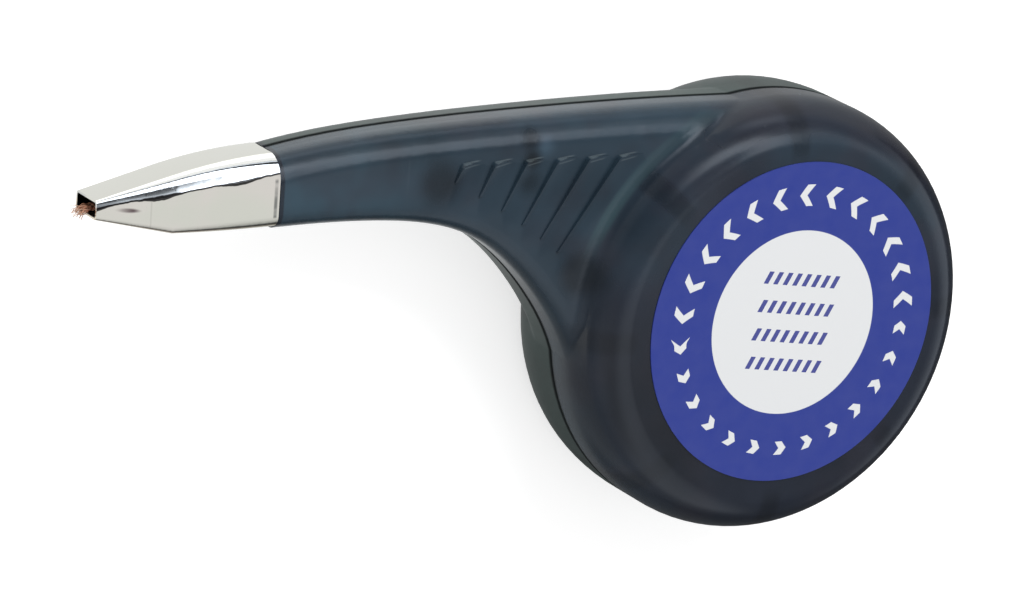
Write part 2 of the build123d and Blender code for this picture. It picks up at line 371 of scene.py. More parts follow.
def smoothGroup(setting):
    group = bpy.data.node_groups.new("smoothByAngle", "GeometryNodeTree")
    group.interface.new_socket("Geometry", in_out="INPUT", socket_type="NodeSocketGeometry")
    group.interface.new_socket("Geometry", in_out="OUTPUT", socket_type="NodeSocketGeometry")
    start, end = group.nodes.new("NodeGroupInput"), group.nodes.new("NodeGroupOutput")
    merge = group.nodes.new("GeometryNodeMergeByDistance")
    merge.inputs["Distance"].default_value = setting["merge"]
    faces = group.nodes.new("GeometryNodeSetShadeSmooth")
    edges = group.nodes.new("GeometryNodeSetShadeSmooth")
    edges.domain = "EDGE"
    angle = group.nodes.new("GeometryNodeInputMeshEdgeAngle")
    under = group.nodes.new("FunctionNodeCompare")
    under.data_type, under.operation = "FLOAT", "LESS_THAN"
    under.inputs[1].default_value = math.radians(setting["angle"])
    group.links.new(start.outputs[0], merge.inputs[0])
    group.links.new(merge.outputs[0], faces.inputs[0])
    group.links.new(faces.outputs[0], edges.inputs[0])
    group.links.new(angle.outputs[0], under.inputs[0])
    group.links.new(under.outputs[0], edges.inputs["Shade Smooth"])
    group.links.new(edges.outputs[0], end.inputs[0])
    return group


smooth = smoothGroup(smoothSet)
for node in nodes.values():
    node.modifiers.new("smooth", "NODES").node_group = smooth


def dress(material, *names):
    for name in names:
        nodes[name].data.materials.clear()
        nodes[name].data.materials.append(material)


# shader groups shared by the materials

grainSet = {"scale": 2400.0, "cloudScale": 0.045, "spread": 0.06, "height": 0.0025}


def makeGrain(setting):
    group, given, result = shaderGroup(
        "mouldedGrain",
        {"Scale": setting["scale"], "Roughness": 0.35},
        {"Roughness": "Float", "Normal": "Vector", "Cloud": "Float"},
    )
    place = objectPlace(group)[0]
    fine = noise(group, place, given["Scale"], 1.0)
    cloud = noise(group, place, multiply(group, given["Scale"], setting["cloudScale"]), 3.0)
    spread = mathNode(group, "MULTIPLY_ADD", fine, setting["spread"], given["Roughness"])
    spread = mathNode(group, "MULTIPLY_ADD", cloud, setting["spread"], spread)
    plug(group, mathNode(group, "SUBTRACT", spread, setting["spread"]), result["Roughness"])
    plug(group, bump(group, fine, setting["height"] * mm), result["Normal"])
    plug(group, cloud, result["Cloud"])
    return group


scuffSet = {
    "along": {"scale": 900.0, "stretch": (0.05, 1.0, 1.0), "edge": (0.66, 0.74)},
    "across": {"scale": 700.0, "stretch": (1.0, 0.07, 1.0), "edge": (0.68, 0.76)},
    "patches": 60.0,
    "patchEdge": (0.48, 0.66),
}


def makeScuff(setting):
    group, given, result = shaderGroup("handlingScuff", {"Amount": 0.5}, {"Mask": "Float"})
    place = objectPlace(group)[0]
    thin = []
    for lines in (setting["along"], setting["across"]):
        streaks = noise(group, place, lines["scale"], stretch=lines["stretch"])
        thin.append(ramp(group, streaks, *lines["edge"]))
    here = ramp(group, noise(group, place, setting["patches"]), *setting["patchEdge"])
    plug(group, multiply(group, mathNode(group, "MAXIMUM", *thin), here, given["Amount"]), result["Mask"])
    return group


def makeSpot():
    group, given, result = shaderGroup(
        "softSpot",
        {"Middle X": 0.0, "Middle Y": 0.0, "Radius": 2 * mm, "Blur": 1 * mm},
        {"Mask": "Float"},
    )
    x, y = objectPlace(group)[1:3]
    dx = mathNode(group, "SUBTRACT", x, given["Middle X"])
    dy = mathNode(group, "SUBTRACT", y, given["Middle Y"])
    near = mathNode(group, "SUBTRACT", given["Radius"], given["Blur"])
    far = mathNode(group, "ADD", given["Radius"], given["Blur"])
    plug(group, ramp(group, radiusOf(group, dx, dy), near, far, 1.0, 0.0), result["Mask"])
    return group


grain, scuff, spot = makeGrain(grainSet), makeScuff(scuffSet), makeSpot()
print("shader groups made")


# grips: painted shade in a line along each rib, and a painted highlight on its upper end

gripSet = {
    "count": 6,
    "corner": (-39.6, 20.5),  # mm, upper corner of the first rib
    "step": (3.8, -0.12),
    "lean": (18, 3),  # degrees, and how many more for each rib
    "length": (2.2, 1.75, 0.05),  # mm, by the powers of the rib's number
    "linedFrom": 3.0,  # a shorter rib has no line
    "line": 0.12,
    "lineShift": 0.1,
    "lineEdge": (0.15, 0.65, 1.0, 0.0),
    "lineEnds": (("along", -0.06, 0.1), ("along", 0.7, 1.1, 1.0, 0.0)),  # shares of the length
    "edgeHighlight": 0.15,
    "edgeHighlightColor": (0.42, 0.50, 0.52, 1),
    "edgeHighlightSlope": -0.1,
    "edgeHighlightLines": ((0.0, 1.0), (0.42, 0.58)),  # how far down each line is, and its level
    "edgeHighlightWidth": (0.03, 0.13),
    "edgeHighlightEnds": (("x", -0.1, 0.2), ("x", 1.5, 2.4, 1.0, 0.0)),
}


def makeGripLine(setting):
    group, given, result = shaderGroup(
        "gripLine",
        {"Corner X": 0.0, "Corner Y": 0.0, "Lean": 0.4, "Length": 4 * mm},
        {"Mask": "Float", "Highlight": "Float"},
    )
    x, y = objectPlace(group)[1:3]
    dx = mathNode(group, "SUBTRACT", x, given["Corner X"])
    dy = mathNode(group, "SUBTRACT", y, given["Corner Y"])
    # painted highlight: a bright line along the upper end of each rib
    over = mathNode(group, "MULTIPLY_ADD", dx, setting["edgeHighlightSlope"], dy)
    near, far = (v * mm for v in setting["edgeHighlightWidth"])
    edges = []
    for lower, level in setting["edgeHighlightLines"]:
        away = mathNode(group, "ABSOLUTE", mathNode(group, "ADD", over, lower * mm))
        edges.append(ramp(group, away, near, far, level, 0.0))
    bright = zone(group, {"x": (dx, 0)}, setting["edgeHighlightEnds"], mm)
    plug(group, multiply(group, mathNode(group, "MAXIMUM", *edges), bright), result["Highlight"])
    # painted shade: the line follows the step at the rib's side
    sine = mathNode(group, "SINE", given["Lean"])
    cosine = mathNode(group, "COSINE", given["Lean"])
    along = mathNode(group, "MULTIPLY_ADD", dx, sine, multiply(group, dy, cosine))
    along = mathNode(group, "DIVIDE", along, multiply(group, given["Length"], -1.0))
    side = mathNode(group, "SUBTRACT", multiply(group, dx, cosine), multiply(group, dy, sine))
    side = mathNode(group, "ABSOLUTE", mathNode(group, "ADD", side, setting["lineShift"] * mm))
    near, far, start, end = setting["lineEdge"]
    line = ramp(group, side, near * mm, far * mm, start, end)
    ends = zone(group, {"along": (along, 0)}, setting["lineEnds"])
    plug(group, multiply(group, line, ends), result["Mask"])
    return group


gripLine = makeGripLine(gripSet)


def shadeGrips(tree, shade, setting):
    edgeHighlight = 0.0
    lean, moreLean = setting["lean"]
    for rib in range(setting["count"]):
        cornerX, cornerY = (first + step * rib for first, step in zip(setting["corner"], setting["step"]))
        length = sum(part * rib**power for power, part in enumerate(setting["length"]))
        values = {
            "Corner X": cornerX * mm,
            "Corner Y": cornerY * mm,
            "Lean": math.radians(lean + moreLean * rib),
            "Length": length * mm,
        }
        made = useGroup(tree, gripLine, values)
        if length > setting["linedFrom"]:
            shade = darken(tree, shade, made["Mask"], setting["line"])
        edgeHighlight = mathNode(tree, "MAXIMUM", made["Highlight"], edgeHighlight)
    return shade, multiply(tree, edgeHighlight, setting["edgeHighlight"])


# housing: translucent plastic, darker where something lies close behind it, with painted light and shade

shellSet = {
    "front": {
        "handle": (0.031, 0.064, 0.090, 1),
        "web": (0.023, 0.042, 0.061, 1),
        "drum": (0.0135, 0.0175, 0.0285, 1),
        "murk": (0.026, 0.024, 0.034, 1),
        "murkShare": 0.45,
        "topPaintedLight": 0.6,
        "upperPaintedLight": 0.5,
        "lowerPaintedShade": 0.5,
        "webPaintedShade": 0.25,
        "sidePaintedGlow": 0.05,
        "roughness": 0.21,
    },
    "rear": {
        "handle": (0.038, 0.063, 0.056, 1),
        "web": (0.032, 0.053, 0.048, 1),
        "drum": (0.032, 0.053, 0.050, 1),
        "murk": (0.036, 0.042, 0.042, 1),
        "murkShare": 0.3,
        "topPaintedLight": 0.0,
        "upperPaintedLight": 0.0,
        "lowerPaintedShade": 0.0,
        "webPaintedShade": 0.0,
        "sidePaintedGlow": 0.0,
        "roughness": 0.4,
    },
    # places are in mm: x and y from the drum's axis, z from the seam, "apart" outwards from the axis
    "webFrom": (("x", -53, -41),),
    "drumR": 24.7,
    "drumBlur": (5, 14, 3.2, 1.1),  # half width of the drum's soft edge, by y
    "topSlope": 0.45,
    "top": (("top", 10, 20), ("apart", 22.5, 20.5)),
    "upper": (("x", -6, -12), ("y", 4, 10)),
    "lower": (("x", -6, -13), ("y", 5, -4), ("apart", 23.2, 21.5)),
    "belly": (("y", 16, 6),),
    "spots": (  # x, y, radius, blur, depth: the bosses, and the wall that guides the wick
        (-42.1, 18.7, 2.2, 1.3, 0.6),
        (-24.3, 7.1, 2.2, 1.1, 0.6),
        (-31.3, 17.8, 1.2, 1.1, 0.5),
        (-31.4, 22.5, 0.9, 0.9, 0.7),
        (-31.2, 20.4, 0.9, 0.8, 0.8),
        # painted highlight: this spot's negative depth makes it lighter
        (-29.7, 21.7, 0.9, 0.9, -0.8),
    ),
    "ribs": 8,
    "ribEdge": (0.82, 0.99),
    "ribDepth": 0.35,
    "ribArea": (("apart", 18, 20),),
    "handleY": 18.7,
    "handleHalf": 4,
    "handleEdge": (0.1, 1.0),
    "handleDepth": 0.3,
    "handleArea": (("x", -44, -40, 1.0, 0.0),),
    "murkScale": 130.0,
    "murkEdge": (0.42, 0.66),
    "cloud": (0.9, 0.55),  # contrast and lowest level
    "joint": (0.25, 0.6, 1.0, 0.0),
    "jointDepth": 0.8,
    "jointRough": 0.5,
    "endX": -60.9,
    "end": (("end", 0.35, 0.6, 0.8, 0.0),),
    "endShadeColor": (0.01, 0.01, 0.016, 1),
    "side": (("apart", 23.0, 24.0), ("x", -14, -20), ("y", 4, -4)),
    "sideRise": (1.0, 4.7),
    "sideColor": (0.8, 0.95, 1.0, 1),
    "creaseR": 25.1,
    "crease": (
        ("crease", 0.4, 1.0, 1.0, 0.0),
        ("y", 8, 13),
        ("x", -26, -12, 1.0, 0.4),
        ("z", 3.5, 4.2, 0.0, 0.4),
    ),
    "creaseHighlightColor": (0.05, 0.11, 0.12, 1),
    "scuffs": 0.35,
    "scuffColor": (0.12, 0.15, 0.18, 1),
    "scuffShare": 0.3,
    "scuffRough": 0.2,
    "transmission": 0.15,
    "ior": 1.5,
}


def shellMaterial(name, setting, both):
    material, tree, shader = newMaterial(name)
    moulded = useGroup(tree, grain, {"Roughness": setting["roughness"]})
    place, x, y, z = objectPlace(tree)
    apart = radiusOf(tree, x, y)
    axes = {"x": (x, 0), "y": (y, 0), "z": (z, seamZ), "apart": (apart, 0)}

    def area(part):
        return zone(tree, axes, both[part], mm)

    # base colours: palest in the hollow handle, darkest over the drum, where the coil lies behind
    low, high, wide, narrow = both["drumBlur"]
    blur = ramp(tree, y, low * mm, high * mm, wide * mm, narrow * mm)
    near = mathNode(tree, "SUBTRACT", both["drumR"] * mm, blur)
    far = mathNode(tree, "ADD", both["drumR"] * mm, blur)
    drum = ramp(tree, apart, near, far, 1.0, 0.0)
    color = mixColor(tree, area("webFrom"), setting["handle"], setting["web"])
    color = mixColor(tree, drum, color, setting["drum"])
    # painted light: the drum is paler towards its top
    axes["top"] = (mathNode(tree, "MULTIPLY_ADD", x, both["topSlope"], y), 0)
    color = mixColor(tree, multiply(tree, area("top"), setting["topPaintedLight"]), color, setting["web"])
    # painted shade: the web is darker towards the belly
    low = multiply(tree, area("belly"), mathNode(tree, "SUBTRACT", 1.0, drum))
    shade = mathNode(tree, "MULTIPLY_ADD", low, -setting["webPaintedShade"], 1.0)
    # dark spots where the bosses and the wick's wall lie behind; a negative depth gives a painted highlight
    for middleX, middleY, radius, blur, depth in both["spots"]:
        values = {"Middle X": middleX, "Middle Y": middleY, "Radius": radius, "Blur": blur}
        mask = useGroup(tree, spot, {key: value * mm for key, value in values.items()})["Mask"]
        shade = darken(tree, shade, mask, depth)
    shade, edgeHighlight = shadeGrips(tree, shade, gripSet)
    # ribs inside the drum
    ribs = multiply(tree, mathNode(tree, "ARCTAN2", y, x), both["ribs"])
    ribs = ramp(tree, mathNode(tree, "COSINE", ribs), *both["ribEdge"])
    ribs = multiply(tree, ribs, multiply(tree, area("ribArea"), drum))
    shade = darken(tree, shade, ribs, both["ribDepth"])
    # the handle is darker towards its edges, where the walls stand
    edge = mathNode(tree, "SUBTRACT", y, both["handleY"] * mm)
    edge = mathNode(tree, "ABSOLUTE", mathNode(tree, "DIVIDE", edge, both["handleHalf"] * mm))
    edge = multiply(tree, ramp(tree, edge, *both["handleEdge"]), area("handleArea"))
    shade = darken(tree, shade, edge, both["handleDepth"])
    # painted light and shade: beside the label the drum is paler above the web, and darker below it
    upper = multiply(tree, area("upper"), drum, setting["upperPaintedLight"])
    color = mixColor(tree, upper, color, setting["web"])
    shade = darken(tree, shade, area("lower"), setting["lowerPaintedShade"])
    # uneven tint of the plastic
    murk = ramp(tree, noise(tree, place, both["murkScale"]), *both["murkEdge"], 0.0, setting["murkShare"])
    color = mixColor(tree, murk, color, setting["murk"])
    shade = multiply(tree, shade, mathNode(tree, "MULTIPLY_ADD", moulded["Cloud"], *both["cloud"]))
    # joint line between the halves
    near, far, *levels = both["joint"]
    joint = ramp(tree, distance(tree, z, seamZ), near * mm, far * mm, *levels)
    shade = darken(tree, shade, joint, both["jointDepth"])
    color = shadeColor(tree, color, shade)
    # painted shade: the shell is dark close to its open end, where the nozzle goes in
    axes["end"] = (mathNode(tree, "ADD", x, -both["endX"] * mm), 0)
    color = mixColor(tree, area("end"), color, both["endShadeColor"])
    # painted light: a pale glow low on the drum's side, for light that leaks through its single side wall
    low, high = (seamZ + v * mm for v in both["sideRise"])
    side = multiply(tree, area("side"), ramp(tree, z, low, high, setting["sidePaintedGlow"], 0.0))
    color = mixColor(tree, side, color, both["sideColor"])
    # painted highlight: a pale teal stripe along the crease, where the single wall between the grips and
    # the drum lets light through
    axes["crease"] = (distance(tree, apart, both["creaseR"] * mm), 0)
    color = mixColor(tree, area("crease"), color, both["creaseHighlightColor"])
    # painted highlight on the grips' upper ends, and scuffs from wear
    color = mixColor(tree, edgeHighlight, color, gripSet["edgeHighlightColor"])
    scuffs = useGroup(tree, scuff, {"Amount": both["scuffs"]})["Mask"]
    color = mixColor(tree, multiply(tree, scuffs, both["scuffShare"]), color, both["scuffColor"])
    plug(tree, color, shader.inputs["Base Color"])
    rough = mathNode(tree, "MULTIPLY_ADD", scuffs, both["scuffRough"], moulded["Roughness"])
    rough = mathNode(tree, "MULTIPLY_ADD", joint, both["jointRough"], rough)
    plug(tree, rough, shader.inputs["Roughness"])
    plug(tree, moulded["Normal"], shader.inputs["Normal"])
    shader.inputs["Transmission Weight"].default_value = both["transmission"]
    shader.inputs["IOR"].default_value = both["ior"]
    return material


dress(shellMaterial("shellFront", shellSet["front"], shellSet), "front_shell")
dress(shellMaterial("shellRear", shellSet["rear"], shellSet), "rear_shell")
print("housing dressed")


# nozzle: bright plated metal with slightly wavy faces, and painted reflections and shade

nozzleSet = {
    "edge": (0.96, 0.95, 0.92, 1),
    "back": (0.73, 0.715, 0.66, 1),
    "face": (0.78, 0.715, 0.58, 1),
    "faceWarm": (0.82, 0.715, 0.60, 1),
    "roughness": 0.03,
    # waves in the plating, and patches of a warmer tone
    "wave": 0.03,
    "waveScale": 260.0,
    "waveStretch": (0.7, 1.0, 1.0),
    "patchScale": 160.0,
    "patchEdge": (0.35, 0.65),
    "hazeScale": 300.0,
    "hazeRough": 0.06,
    "scuffs": 0.6,
    "scuffRough": 0.25,
    # degrees round the edge, from the back face towards the front
    "rim": 31,
    "line": (35, 48),
    "facet": (62, 65),
    "front": (88, 97),
    "belly": (98.0, 118.0),
    # painted reflection from the back face to the edge, and painted shade on the lower edge
    "backToEdge": (8.0, 30.0),
    "lowerEdge": (93.0, 125.0, 1.0, 0.66),
    # crease where the pressed facet meets the front face, mm
    "creaseStart": (-80.5, 18.85),
    "creaseSlope": 0.12,
    "creaseDip": 0.18,
    "creaseWaver": 0.3,
    "waverScale": 900.0,
    "facetEdge": 0.05,
    "streak": 0.1,  # half width
    "swells": ((-81.4, 2.6, 0.1), (-74.0, 2.9, 0.17), (-65.3, 3.0, 0.14)),  # x, half length, extra width
    "streakEdge": 0.06,
    "streakSide": (0.3, 0.5),
    "streakShare": 0.97,
    "streakReflectionColor": (0.03, 0.026, 0.024, 1),
    # painted reflection: a fine dark line where the facet starts; painted shade along a fold in the front
    # face
    "fineLine": (1.0, 7.0, 1.0, 0.0),
    "fineDepth": 0.4,
    "foldX": -75.1,
    "fold": (0.05, 0.14),
    "foldDepth": 0.1,
    # painted reflection: a dark mark near the outlet
    "mark": (-77.6, 18.32, 1.5, 0.3),  # x, y, half length, half height
    "markSlope": 0.14,
    "markEdge": (("away", 0.35, 1.1, 1.0, 0.0), ("across", -0.9, 0.6, 0.35, 1.0), ("side", 0.6, 0.8)),
    "markShare": 0.95,
    "markReflectionColor": (0.10, 0.05, 0.055, 1),
    # painted shadow and reflection where the nozzle meets the housing
    "endX": -61.35,
    "end": (("end", 0.08, 0.28, 1.0, 0.0), ("off", -0.4, -0.8)),
    "endScale": 500.0,
    "endStretch": (0.3, 1.0, 1.0),
    "endBreaks": (0.32, 0.6),
    "endTurn": (92.0, 100.0, 1.0, 0.0),
    "endShare": 0.75,
    "endShadeColor": (0.08, 0.085, 0.08, 1),
}


def clampNode(tree, value, low, high):
    return mathNode(tree, "MINIMUM", mathNode(tree, "MAXIMUM", value, low), high)


# the crease's place across the nozzle, and half the width of the streak along it
def nozzleCrease(tree, place, x, setting):
    startX, startY = setting["creaseStart"]
    slope = setting["creaseSlope"]
    crease = mathNode(tree, "MULTIPLY_ADD", x, slope, (startY - startX * slope) * mm)
    half = setting["streak"] * mm
    for middle, length, extra in setting["swells"]:
        swell = ramp(tree, distance(tree, x, middle * mm), 0.0, length * mm, 1.0, 0.0)
        half = mathNode(tree, "MULTIPLY_ADD", swell, extra * mm, half)
        crease = mathNode(tree, "MULTIPLY_ADD", swell, -setting["creaseDip"] * mm, crease)
    waver = noise(tree, place, setting["waverScale"], stretch=(1.0, 0.0, 0.0))
    waver = mathNode(tree, "SUBTRACT", waver, 0.5)
    return mathNode(tree, "MULTIPLY_ADD", waver, setting["creaseWaver"] * mm, crease), half


# shading normal: each face and rounding is turned to the few directions that it has when pressed
def nozzleNormal(tree, place, normal, turn, facet, setting):
    nx, ny, nz = normal
    rounded = mixValue(
        tree,
        ramp(tree, turn, *setting["line"]),
        mathNode(tree, "MINIMUM", turn, setting["rim"]),
        clampNode(tree, turn, *setting["facet"]),
    )
    front = clampNode(tree, turn, *setting["front"])
    front = mixValue(tree, ramp(tree, turn, *setting["belly"]), front, turn)
    bent = multiply(tree, mixValue(tree, facet, front, rounded), math.pi / 180)
    flat = mathNode(tree, "SQRT", mathNode(tree, "SUBTRACT", 1.0, multiply(tree, nx, nx)))
    joined = addNode(tree, "ShaderNodeCombineXYZ")
    plug(tree, nx, joined.inputs[0])
    plug(tree, multiply(tree, flat, mathNode(tree, "COSINE", bent)), joined.inputs[1])
    sideways = multiply(tree, flat, mathNode(tree, "SINE", bent))
    plug(tree, multiply(tree, sideways, mathNode(tree, "SIGN", nz)), joined.inputs[2])
    turned = addNode(tree, "ShaderNodeVectorTransform", vector_type="NORMAL")
    turned.convert_from, turned.convert_to = "OBJECT", "WORLD"
    plug(tree, joined.outputs[0], turned.inputs[0])
    waves = noise(tree, place, setting["waveScale"], 1.0, stretch=setting["waveStretch"])
    wave = bump(tree, waves, setting["wave"] * mm)
    plug(tree, turned.outputs[0], wave.node.inputs["Normal"])
    return wave


def nozzleMaterial(setting):
    material, tree, shader = newMaterial("platedMetal")
    place, x, y = objectPlace(tree)[:3]
    normal = split(tree, addNode(tree, "ShaderNodeTexCoord").outputs["Normal"])
    ny, nz = normal[1:]
    # how far the surface has turned from the back face towards the front, in degrees
    turn = mathNode(tree, "ARCTAN2", mathNode(tree, "ABSOLUTE", nz), ny)
    turn = multiply(tree, turn, 180 / math.pi)
    crease, half = nozzleCrease(tree, place, x, setting)
    off = mathNode(tree, "SUBTRACT", y, crease)
    facet = ramp(tree, off, -setting["facetEdge"] * mm, setting["facetEdge"] * mm)
    plug(tree, nozzleNormal(tree, place, normal, turn, facet, setting), shader.inputs["Normal"])
    # painted reflection: bright along the rounded edge, duller on the flats, by the way the surface faces
    patches = ramp(tree, noise(tree, place, setting["patchScale"]), *setting["patchEdge"])
    face = mixColor(tree, patches, setting["face"], setting["faceWarm"])
    color = mixColor(tree, ramp(tree, turn, *setting["backToEdge"]), setting["back"], setting["edge"])
    color = mixColor(tree, facet, face, color)
    # painted reflection: a fine dark line where the facet starts; painted shade along the fold and on the
    # lower edge
    line = ramp(tree, distance(tree, turn, sum(setting["line"]) / 2), *setting["fineLine"])
    tone = mathNode(tree, "MULTIPLY_ADD", line, -setting["fineDepth"], 1.0)
    near, far = (v * mm for v in setting["fold"])
    fold = ramp(tree, distance(tree, x, setting["foldX"] * mm), near, far, 1.0, 0.0)
    fold = multiply(tree, fold, ramp(tree, facet, 0.0, 0.5, 1.0, 0.0))
    tone = darken(tree, tone, fold, setting["foldDepth"])
    tone = multiply(tree, tone, ramp(tree, turn, *setting["lowerEdge"]))
    color = shadeColor(tree, color, tone)
    # painted reflection: a dark streak along the crease
    streak = mathNode(tree, "SUBTRACT", mathNode(tree, "ABSOLUTE", off), half)
    streak = mathNode(tree, "MULTIPLY_ADD", streak, -1 / (setting["streakEdge"] * mm), 0.5, clamp=True)
    side = mathNode(tree, "ABSOLUTE", nz)
    streak = multiply(tree, streak, ramp(tree, side, *setting["streakSide"]), setting["streakShare"])
    color = mixColor(tree, streak, color, setting["streakReflectionColor"])
    # painted reflection: a dark mark near the outlet; painted shadow and reflection of the housing at the
    # nozzle's root
    markX, markY, markLength, markHeight = (v * mm for v in setting["mark"])
    across = mathNode(tree, "DIVIDE", mathNode(tree, "SUBTRACT", x, markX), markLength)
    down = mathNode(tree, "MULTIPLY_ADD", across, setting["markSlope"] * mm, y)
    down = mathNode(tree, "DIVIDE", mathNode(tree, "SUBTRACT", down, markY), markHeight)
    axes = {"away": (radiusOf(tree, across, down), 0), "across": (across, 0), "side": (side, 0)}
    mark = multiply(tree, zone(tree, axes, setting["markEdge"]), setting["markShare"])
    color = mixColor(tree, mark, color, setting["markReflectionColor"])
    axes = {"end": (distance(tree, x, setting["endX"] * mm), 0), "off": (off, 0)}
    breaks = noise(tree, place, setting["endScale"], stretch=setting["endStretch"])
    end = multiply(
        tree,
        zone(tree, axes, setting["end"], mm),
        ramp(tree, breaks, *setting["endBreaks"]),
        ramp(tree, turn, *setting["endTurn"]),
        setting["endShare"],
    )
    color = mixColor(tree, end, color, setting["endShadeColor"])
    plug(tree, color, shader.inputs["Base Color"])
    shader.inputs["Metallic"].default_value = 1.0
    scuffs = useGroup(tree, scuff, {"Amount": setting["scuffs"]})["Mask"]
    haze = noise(tree, place, setting["hazeScale"], 3.0)
    rough = mathNode(tree, "MULTIPLY_ADD", haze, setting["hazeRough"], setting["roughness"])
    rough = mathNode(tree, "MULTIPLY_ADD", scuffs, setting["scuffRough"], rough)
    plug(tree, rough, shader.inputs["Roughness"])
    return material


dress(nozzleMaterial(nozzleSet), "nozzle")


# guide and spool: plain moulded plastic

mouldedSet = {
    "guide": {"color": (0.016, 0.016, 0.018, 1), "roughness": 0.45},
    "spool": {"color": (0.02, 0.025, 0.036, 1), "roughness": 0.42},
    "cloudy": 1.7,  # how much paler the clouds in it are
}


def mouldedMaterial(name, kind, setting):
    material, tree, shader = newMaterial(name)
    moulded = useGroup(tree, grain, {"Roughness": setting[kind]["roughness"]})
    color = setting[kind]["color"]
    paler = tuple(v * setting["cloudy"] for v in color[:3]) + (1,)
    color = mixColor(tree, moulded["Cloud"], color, paler)
    plug(tree, color, shader.inputs["Base Color"])
    plug(tree, moulded["Roughness"], shader.inputs["Roughness"])
    plug(tree, moulded["Normal"], shader.inputs["Normal"])
    return material


dress(mouldedMaterial("guidePlastic", "guide", mouldedSet), "wick_guide")
dress(mouldedMaterial("spoolPlastic", "spool", mouldedSet), "spool_hub", "spool_flange")
print("nozzle, guide and spool dressed")


# wick: copper braid

copperSet = {
    "bright": (0.86, 0.44, 0.28, 1),
    "dull": (0.50, 0.21, 0.12, 1),
    "tip": (0.97, 0.68, 0.50, 1),
    "tipFade": (1.6, 0.4, 0.0, 0.7),  # mm from the end, and its shares there
    "roughness": 0.2,
    "tarnishRough": 0.25,
    "tarnishScale": 1800.0,
    "tarnishEdge": (0.35, 0.7),
    # weave on the wound wick, whose wires show only as a relief
    "coilR": 14.0,
    "woundFrom": (-25.0, -24.9),
    "lay": 7500.0,
    "laySlope": 1.4,
    "layEdge": (-0.2, 0.7),
    "relief": 0.03,
}
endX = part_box("wick_end")[0].x


def copperMaterial(name, setting, woven):
    material, tree, shader = newMaterial(name)
    place, x, y, z = objectPlace(tree)
    tarnish = noise(tree, place, setting["tarnishScale"], 3.0)
    color = mixColor(tree, ramp(tree, tarnish, *setting["tarnishEdge"]), setting["bright"], setting["dull"])
    if woven:
        low, high = (v * mm for v in setting["woundFrom"])
        wound = ramp(tree, x, low, high)
        along = multiply(tree, mathNode(tree, "ARCTAN2", y, x), setting["coilR"] * mm)
        path = mixValue(tree, wound, x, along)
        down = multiply(tree, z, setting["laySlope"])
        lays = []
        for way in ("ADD", "SUBTRACT"):
            lay = multiply(tree, mathNode(tree, way, path, down), setting["lay"])
            lays.append(mathNode(tree, "SINE", lay))
        weave = mathNode(tree, "MAXIMUM", *lays)
        color = mixColor(tree, ramp(tree, weave, *setting["layEdge"]), setting["dull"], color)
        weave = mathNode(tree, "ADD", weave, multiply(tree, radiusOf(tree, x, y), 2.0))
        plug(tree, bump(tree, weave, setting["relief"] * mm), shader.inputs["Normal"])
    else:
        low, high, *shares = setting["tipFade"]
        tip = ramp(tree, x, endX + low * mm, endX + high * mm, *shares)
        color = mixColor(tree, tip, color, setting["tip"])
    plug(tree, color, shader.inputs["Base Color"])
    shader.inputs["Metallic"].default_value = 1.0
    rough = mathNode(tree, "MULTIPLY_ADD", tarnish, setting["tarnishRough"], setting["roughness"])
    plug(tree, rough, shader.inputs["Roughness"])
    return material


dress(copperMaterial("copperWound", copperSet, True), "wick_coil", "wick_feed", "wick_end")

braidSet = {  # mm
    "carriers": 6,  # each way
    "wires": 4,
    "wireR": 0.045,
    "gap": 0.12,
    "halfWidth": 0.86,
    "layer": 0.105,
    "weave": 0.048,
    "lay": 5.2,
    "step": 0.11,
    "ragged": 1.1,  # how much shorter a wire may be
    "fray": 2.4,
    "splay": 0.55,
    "droop": (-1.5, 0.5),  # mean and spread
    "sideways": (0.1, 0.8),
    "seed": 7,
}


def braidPoint(around, setting):
    width, layer = setting["halfWidth"], setting["layer"]
    straight = 2 * (width - layer)
    arc = math.pi * layer
    place = (around % 1.0) * 2 * (straight + arc)
    if place < straight:
        return Vector((layer, place - straight / 2)), Vector((1, 0))
    place -= straight
    if place < arc:
        turn = place / layer
        side = Vector((math.cos(turn), math.sin(turn)))
        return Vector((0, straight / 2)) + side * layer, side
    place -= arc
    if place < straight:
        return Vector((-layer, straight / 2 - place)), Vector((-1, 0))
    turn = math.pi + (place - straight) / layer
    side = Vector((math.cos(turn), math.sin(turn)))
    return Vector((0, -straight / 2)) + side * layer, side


# places along one wire: x along the wick, then its offsets across it
def wirePath(start, stop, end, phase, way, lean, setting):
    x = start
    while x > stop - 1e-6:
        run = start - x
        flat, out = braidPoint(phase + way * run / setting["lay"], setting)
        crossing = 2 * setting["carriers"] * run / setting["lay"]
        flat = flat + out * (way * setting["weave"] * math.cos(math.pi * crossing))
        loose = max(0.0, (end + setting["fray"] - x) / setting["fray"])
        flat = flat + lean * (setting["splay"] * loose**2)
        yield x, flat
        x -= setting["step"]


